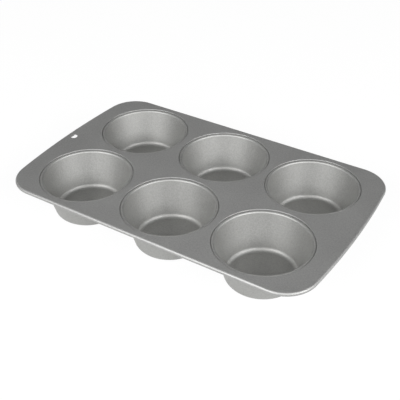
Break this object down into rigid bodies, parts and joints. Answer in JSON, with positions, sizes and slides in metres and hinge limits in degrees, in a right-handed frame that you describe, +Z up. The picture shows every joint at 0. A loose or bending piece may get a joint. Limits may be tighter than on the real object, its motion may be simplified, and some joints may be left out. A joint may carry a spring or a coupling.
{
  "type": "muffin pan",
  "caption": "Coated steel muffin pan: flat deck with rolled edge and hang hole, and deep tapered cups clinched into it in two rows.",
  "frame": {"origin": "under the middle of the deck, on the plane that the six cup floors stand on", "axes": "+Z up, +X along the longer side towards the end without the hang hole, +Y across the pan towards the back row"},
  "size_m": [0.35, 0.216, 0.0416],
  "materials": {
    "deck_coating": "satin non-stick coating",
    "cup_coating": "satin non-stick coating",
    "wire_steel": "drawn steel wire"
  },
  "bodies": {
    "root": {"deck_sheet": "deck_coating", "rim_wire": "wire_steel", "cup_front_left": "cup_coating", "cup_front_middle": "cup_coating", "cup_front_right": "cup_coating", "cup_back_left": "cup_coating", "cup_back_middle": "cup_coating", "cup_back_right": "cup_coating"}
  },
  "joints": []
}
